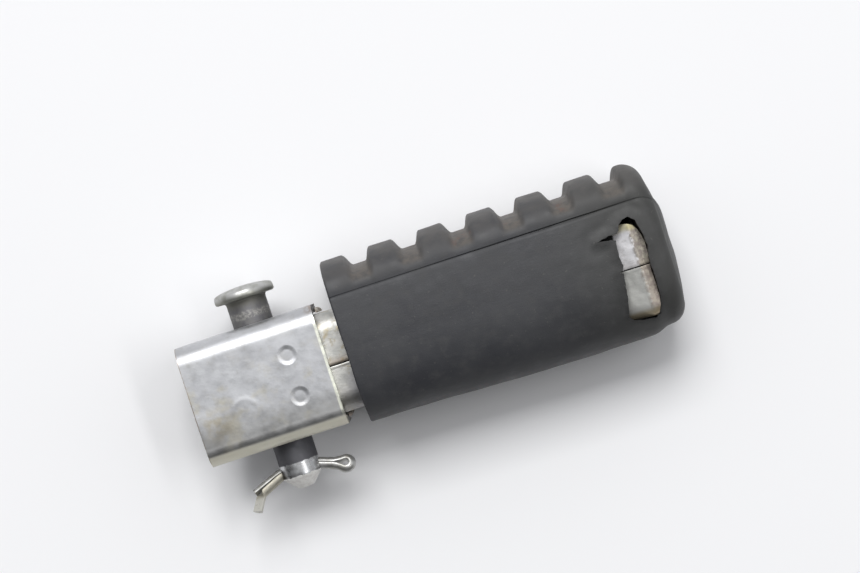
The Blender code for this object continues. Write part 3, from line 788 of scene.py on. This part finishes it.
PIN_R = 5.0
PIN_HEAD_R = 7.5
HEAD_UNDER_Y = 21.4
HEAD_RIM = 1.9
CHAMFER_Y = -23.7
TIP_R = 2.2
CROSS_HOLE_Y = -22.35
CROSS_HOLE_R = 1.78


def make_pin():
    tip, head = PIN_LOW.y, PIN_HIGH.y
    profile = [(tip, 0.3), (tip + 0.02, TIP_R - 0.7), (tip + 0.12, TIP_R - 0.25),
               (tip + 0.35, TIP_R + 0.05), (CHAMFER_Y - 0.25, PIN_R - 0.22),
               (CHAMFER_Y - 0.02, PIN_R - 0.04), (CHAMFER_Y + 0.25, PIN_R)]
    for y, r in ((-20.6, 5.0), (-20.35, 4.97), (-20.2, 4.985), (-16.0, 4.985), (-13.0, 4.99),
                 (12.5, 4.985), (15.0, 4.975), (16.6, 4.96), (16.9, 4.985), (18.1, 4.99),
                 (18.5, 4.95), (20.4, 4.95), (20.9, 5.0)):
        profile.append((y, r))
    profile += [(HEAD_UNDER_Y - 0.35, PIN_R + 0.06), (HEAD_UNDER_Y - 0.1, PIN_R + 0.22),
                (HEAD_UNDER_Y, PIN_R + 0.5), (HEAD_UNDER_Y, PIN_HEAD_R - 0.6),
                (HEAD_UNDER_Y + 0.15, PIN_HEAD_R - 0.22), (HEAD_UNDER_Y + 0.45, PIN_HEAD_R - 0.03),
                (HEAD_UNDER_Y + 0.9, PIN_HEAD_R),
                (HEAD_UNDER_Y + HEAD_RIM - 0.4, PIN_HEAD_R - 0.05)]
    rim = HEAD_UNDER_Y + HEAD_RIM
    for a in np.radians(np.linspace(8, 88, 12)):
        profile.append((rim + (head - rim) * math.sin(a), (PIN_HEAD_R - 0.15) * math.cos(a)))
    fine = []
    for (y0, r0), (y1, r1) in zip(profile, profile[1:]):
        count = max(1, round(abs(y1 - y0) / 0.9))
        fine += [(y0 + (y1 - y0) * i / count, r0 + (r1 - r0) * i / count)
                 for i in range(count)]
    fine.append(profile[-1])
    pin = thing("pin", turned(fine, "Y", (0, 0, PIN_Z), 72))
    hole = []
    for x in (-8, -5.4, -4.7, 4.7, 5.4, 8):
        hole.append((x, CROSS_HOLE_R + max(0, abs(x) - 4.7) * 0.35))
    cut_away(pin, turned(hole, "X", (0, CROSS_HOLE_Y, PIN_Z), 32))
    roughen(pin.data, 2.5, 0.05, lambda p: np.abs(p[:, 1] - CROSS_HOLE_Y) > 2.2)
    return pin


def pin_steel():
    f = Finish("worn_pin_steel")
    f.shader.inputs["Specular Tint"].default_value = (0.7, 0.7, 0.7, 1)
    drift = f.calc("MULTIPLY", f.calc("SUBTRACT", f.noise(1.6, 3), 0.5), 0.9)
    y = f.calc("ADD", f.y, drift)
    dark = f.mix(f.step(f.noise(1.8, 4, 0.65), 0.35, 0.65),
                 (0.150, 0.148, 0.156), (0.195, 0.192, 0.188))
    dark = f.mix(f.step(y, -14, 10, 1, 0), dark, (0.115, 0.115, 0.125))
    bright = f.mix(f.step(f.noise(1.2, 4), 0.4, 0.65), (0.62, 0.63, 0.64), (0.50, 0.50, 0.50))
    head = f.mix(f.step(f.noise(2.4, 4), 0.42, 0.66), (0.50, 0.50, 0.49), (0.37, 0.37, 0.34))
    # the head's rim darker and yellower than its dome: partly a yellow tint, partly painted shade
    head = f.mix(f.step(f.y, HEAD_UNDER_Y + 0.3, HEAD_UNDER_Y + 1.7, 0.75, 0), head,
                 (0.24, 0.24, 0.20))
    tip = f.mix(f.step(f.noise(1.0, 4), 0.4, 0.7), (0.84, 0.83, 0.80), (0.72, 0.70, 0.67))
    ring = f.calc("MULTIPLY", f.band(y, 16.6, 18.3, 0.4),
                  f.step(f.noise(0.7, 4, 0.7), 0.42, 0.60, 0.1, 0.8))
    color = f.mix(ring, dark, (0.38, 0.37, 0.35))
    color = f.mix(f.step(y, 18.6, 21.2, 0, 0.5), color, (0.27, 0.265, 0.21))
    color = f.mix(f.band(y, -23.9, -20.35, 0.18), color, bright)
    # a darker patch on the shank's left, beside the cross hole
    dark_by_hole = f.calc("MULTIPLY", f.step(f.x, -4.4, -2.9, 1, 0), f.band(y, -23.8, -21.3, 0.4))
    color = f.mix(f.calc("MULTIPLY", dark_by_hole, 0.85), color, (0.06, 0.052, 0.055))
    on_tip = f.step(y, -23.75, -23.4, 1, 0)
    color = f.mix(on_tip, color, tip)
    color = f.mix(f.step(f.y, HEAD_UNDER_Y - 0.1, HEAD_UNDER_Y + 0.05), color, head)
    f.bump(f.noise(0.5, 4, 0.7, (1, 3, 1)), 0.03, 0.6)
    shiny = f.band(f.y, -23.8, -20.4, 0.1)
    metallic = f.calc("SUBTRACT", f.step(f.y, -20.6, -20.3, 1.0, 0.75),
                      f.calc("MULTIPLY", on_tip, 0.8))
    f.feed(f.shader.inputs["Metallic"], metallic)
    rough = f.calc("ADD", f.step(f.noise(1.8, 4), 0.3, 0.7, 0.52, 0.66),
                   f.calc("MULTIPLY", shiny, -0.28))
    rough = f.calc("ADD", rough, f.step(f.y, HEAD_UNDER_Y - 0.1, HEAD_UNDER_Y, 0, -0.20))
    return f.done(color, rough)


# ---------------------------------------------------------------- split pin

WIRE_R = 1.45
WIRE_HALF_GAP = 0.06
SPLIT_TILT = -28.0
SPLIT_STRAIGHT = 4.3
EYE_DROOP = 20.0
LEG_DROOP = {"upper": 23.5, "lower": 26.5}
EYE_NECK = 4.1
EYE_CENTRE = 7.1
EYE_R = 0.9
EYE_SPREAD = 15.0
LEG_UPPER = 8.5
LEG_LOWER = 6.4
LEG_END_BEND = 37.0
LEG_END_LENGTH = 5.5
LEG_END_TWIST = -57.0
LEG_STEP = 0.25
BEND_STEPS = 8


def bent_line(length, droop, last_bend=0.0, last_length=0.0):
    """(place, heading, twist) along a leg that droops at its root and may turn at its end."""
    points, heading, at = [], 0.0, Vector((0, 0))
    runs = [(droop, BEND_STEPS), (0.0, round(length / LEG_STEP) - BEND_STEPS)]
    if last_length:
        runs += [(last_bend, BEND_STEPS), (0.0, round(last_length / LEG_STEP) - BEND_STEPS)]
    for turn, count in runs:
        for _ in range(count):
            heading += math.radians(turn) / count
            at = at + Vector((math.cos(heading), -math.sin(heading))) * LEG_STEP
            turned_part = (math.degrees(heading) - droop) / last_bend if last_bend else 0
            points.append((at.copy(), heading, LEG_END_TWIST * float(eased(turned_part, 0, 1))))
    return points


def split_pin_path():
    """(along, across, twist) of the wire's flat side, from leg tip round the eye to leg tip."""
    side = WIRE_HALF_GAP
    legs = []
    for sign, run in ((1, bent_line(LEG_UPPER, LEG_DROOP["upper"])),
                      (-1, bent_line(LEG_LOWER, LEG_DROOP["lower"], LEG_END_BEND,
                                     LEG_END_LENGTH))):
        legs.append([(-SPLIT_STRAIGHT - at.x - sign * side * math.sin(heading),
                      at.y + sign * side * math.cos(heading), twist)
                     for at, heading, twist in run])
    droop = math.radians(-EYE_DROOP)
    parted = 90 + EYE_SPREAD
    opening = [(LEG_STEP * 2, side), (1.6, side), (2.8, side), (EYE_NECK, side),
               (EYE_NECK + 0.9, side + 0.18), (EYE_NECK + 1.8, side + 0.42)]
    loop = opening + arc((EYE_CENTRE, 0), EYE_R, parted, -parted, 30)
    loop += [(a, -b) for a, b in opening[::-1]]
    eye = [(SPLIT_STRAIGHT + a * math.cos(droop) - b * math.sin(droop),
            a * math.sin(droop) + b * math.cos(droop), 0) for a, b in loop]
    end = SPLIT_STRAIGHT - LEG_STEP
    upper = [(x, side, 0) for x in (-end, -end / 2, end / 2, end)]
    lower = [(x, -side, 0) for x, _, _ in upper[::-1]]
    return legs[0][::-1] + upper + eye + lower + legs[1]


def make_split_pin():
    tilt = math.radians(SPLIT_TILT)
    along = Vector((1, 0, 0))
    across = Vector((0, math.cos(tilt), math.sin(tilt)))
    normal = along.cross(across)
    path = split_pin_path()
    centre = Vector((0, CROSS_HOLE_Y, PIN_Z))
    spots = [along * a + across * b for a, b, _ in path]
    profile = [(WIRE_R * math.cos(a), WIRE_R * math.sin(a))
               for a in np.radians(np.linspace(8, 172, 15))]
    profile = [(WIRE_R * 0.93, 0.0)] + profile + [(-WIRE_R * 0.93, 0.0)]
    rings = []
    for i, spot in enumerate(spots):
        before, after = spots[max(i - 1, 0)], spots[min(i + 1, len(spots) - 1)]
        heading = (after - before).normalized()
        spin = Matrix.Rotation(math.radians(path[i][2]), 3, heading)
        out, flat = spin @ (heading.cross(normal) * -1), spin @ normal
        rings.append([spot + centre + flat * a + out * b for a, b in profile])
    mesh = loft(rings)
    lower = [i > len(path) / 2 and a < -SPLIT_STRAIGHT for i, (a, _, _) in enumerate(path)]
    mark(mesh, "lower_leg", np.repeat(lower, len(profile)))
    roughen(mesh, 1.5, 0.04)
    return thing("split", mesh)


def wire_steel():
    f = Finish("split_pin_wire", metallic=0.85)
    color = f.mix(f.step(f.noise(2.0, 4), 0.35, 0.65), (0.50, 0.50, 0.49), (0.36, 0.355, 0.33))
    # painted reflection: the lower leg cream, as the pale floor seen in it
    color = f.mix(f.marked("lower_leg"), color, (0.44, 0.42, 0.355))
    # painted reflection: the lower leg's bent end lighter, as the bright overhead light seen in its
    # flat side
    color = f.mix(f.calc("MULTIPLY", f.marked("lower_leg"), f.step(f.y, -26.6, -25.6, 1, 0)),
                  color, (0.62, 0.61, 0.56))
    dirt = f.step(f.noise(0.9, 4, 0.7), 0.56, 0.72, 0, 0.7)
    color = f.mix(dirt, color, (0.17, 0.15, 0.12))
    f.bump(f.noise(0.5, 4, 0.7), 0.03, 0.5)
    rough = f.calc("ADD", f.step(f.noise(1.5, 4), 0.3, 0.7, -0.04, 0.08),
                   f.step(f.x, -5, 5, 0.56, 0.42))
    return f.done(color, rough)


# ---------------------------------------------------------------- weld beads

WELD_LEG = 1.3


def make_bead(node, sign, seed):
    low, high = peg_box(node)
    corner_y = low.y if sign > 0 else high.y
    rings = []
    count = 44
    for i in range(count + 1):
        part = i / count
        z = low.z + 0.05 + (high.z - low.z - 0.1) * part
        ripple = 0.07 * math.sin(part * 62) + 0.10 * noise.noise(Vector((part * 9, seed, 0)))
        end = min(1.0, 0.4 + 5 * min(part, 1 - part))
        size = WELD_LEG * min(1.0, (0.88 + ripple) * end)
        bulged = arc((0, 0), size, 0, 90, 14)
        rings.append([(low.x + a, corner_y + sign * b, z) for a, b in [(0, 0)] + bulged])
    return thing(node + "_shape", loft(rings))


def weld_metal():
    f = Finish("rusty_weld", metallic=0.6)
    color = f.mix(f.step(f.noise(1.1, 4, 0.7), 0.35, 0.6), (0.38, 0.32, 0.27),
                  (0.58, 0.55, 0.50))
    color = f.mix(f.step(f.noise(0.9, 4, 0.7), 0.5, 0.7), color, (0.22, 0.15, 0.10))
    f.bump(f.noise(0.4, 4, 0.7), 0.10, 0.8)
    return f.done(color, f.step(f.noise(1.0, 3), 0.3, 0.7, 0.6, 0.85))


# ---------------------------------------------------------------- stage

CAMERA_TURN = 18.1              # the peg points up to the right by this much
CAMERA_TILT = 1.0
CAMERA_DISTANCE = 500.0
CAMERA_FIELD = 204.7            # millimetres across the picture at the bracket's web
CAMERA_TARGET = (43.8, 10.3, 28.3)
SENSOR = 36.0


def make_camera():
    turn, tilt = math.radians(CAMERA_TURN), math.radians(CAMERA_TILT)
    right = Vector((math.cos(turn), -math.sin(turn), 0))
    flat_up = Vector((math.sin(turn), math.cos(turn), 0))
    back = Vector((0, 0, 1)) * math.cos(tilt) + flat_up * math.sin(tilt)
    up = back.cross(right)
    target = Vector(CAMERA_TARGET) * MM + ORIGIN
    data = bpy.data.cameras.new("camera")
    data.sensor_width = SENSOR
    data.lens = SENSOR * CAMERA_DISTANCE / CAMERA_FIELD
    camera = thing("camera", data)
    spot = target + back * CAMERA_DISTANCE * MM
    camera.matrix_world = Matrix.Translation(spot) @ Matrix((right, up, back)).transposed().to_4x4()
    bpy.context.scene.camera = camera


def make_floor():
    edge = 1.6
    mesh = bpy.data.meshes.new("floor")
    corners = [(-edge, -edge), (edge, -edge), (edge, edge), (-edge, edge)]
    mesh.from_pydata([(x, y, -0.0002) for x, y in corners], [], [(0, 1, 2, 3)])
    floor = thing("floor", mesh)
    pale = bpy.data.materials.new("pale_floor")
    pale.use_nodes = True
    shader = pale.node_tree.nodes["Principled BSDF"]
    shader.inputs["Base Color"].default_value = (0.86, 0.86, 0.87, 1)
    shader.inputs["Roughness"].default_value = 0.7
    mesh.materials.append(pale)


def area_light(name, azimuth, elevation, distance, size, power):
    """A soft panel that looks at the peg; azimuth 0 is the picture's right, 90 its top."""
    a = math.radians(azimuth - CAMERA_TURN)
    e = math.radians(elevation)
    away = Vector((math.cos(a) * math.cos(e), math.sin(a) * math.cos(e), math.sin(e)))
    data = bpy.data.lights.new(name, "AREA")
    data.shape = "RECTANGLE"
    data.size, data.size_y = size
    data.energy = power
    lamp = thing(name, data)
    lamp.location = away * distance
    lamp.rotation_euler = away.to_track_quat("Z", "Y").to_euler()


def make_light():
    area_light("window", 108, 57, 3.0, (1.5, 1.2), 60.5)
    area_light("strip", CAMERA_TURN, 62, 2.5, (1.6, 0.22), 9.0)
    world = bpy.data.worlds.new("studio")
    world.use_nodes = True
    tree = world.node_tree
    direction = tree.nodes.new("ShaderNodeTexCoord").outputs["Generated"]
    lean = tree.nodes.new("ShaderNodeVectorMath")
    lean.operation = "DOT_PRODUCT"
    tree.links.new(direction, lean.inputs[0])
    turn = math.radians(CAMERA_TURN)
    lean.inputs[1].default_value = (math.sin(turn), math.cos(turn), 0)
    total = tree.nodes.new("ShaderNodeMath")
    for socket, limits in zip(total.inputs, ((-0.35, 0.10, 0.08, 0.80), (0.10, 0.60, 0.0, 0.20))):
        tree.links.new(ramp(tree, lean.outputs["Value"], *limits), socket)
    # darker towards the horizon
    split = tree.nodes.new("ShaderNodeSeparateXYZ")
    tree.links.new(direction, split.inputs[0])
    dimmed = tree.nodes.new("ShaderNodeMath")
    dimmed.operation = "MULTIPLY"
    tree.links.new(total.outputs[0], dimmed.inputs[0])
    tree.links.new(ramp(tree, split.outputs[2], 0.0, 0.65, 0.50, 0.82), dimmed.inputs[1])
    background = tree.nodes["Background"]
    background.inputs["Color"].default_value = (0.97, 0.98, 1.0, 1)
    tree.links.new(dimmed.outputs[0], background.inputs["Strength"])
    bpy.context.scene.world = world
    bpy.context.scene.view_settings.view_transform = "Standard"
    bpy.context.scene.view_settings.look = "None"


make_camera()
make_floor()
make_light()

ready(make_sleeve(), "rubber_sleeve", "peg", rubber(), 50)
ready(make_tube(), "core_tube", "peg", tube_steel())
ready(make_bracket(), "hinge_bracket", "peg", zinc(), 30)
ready(make_pin(), "clevis_pin", "pin", pin_steel())
ready(make_split_pin(), "split_pin", "split_pin", wire_steel(), 60)
weld = weld_metal()
ready(make_bead("weld_bead_upper", 1, 1.0), "weld_bead_upper", "peg", weld)
ready(make_bead("weld_bead_lower", -1, 5.0), "weld_bead_lower", "peg", weld)
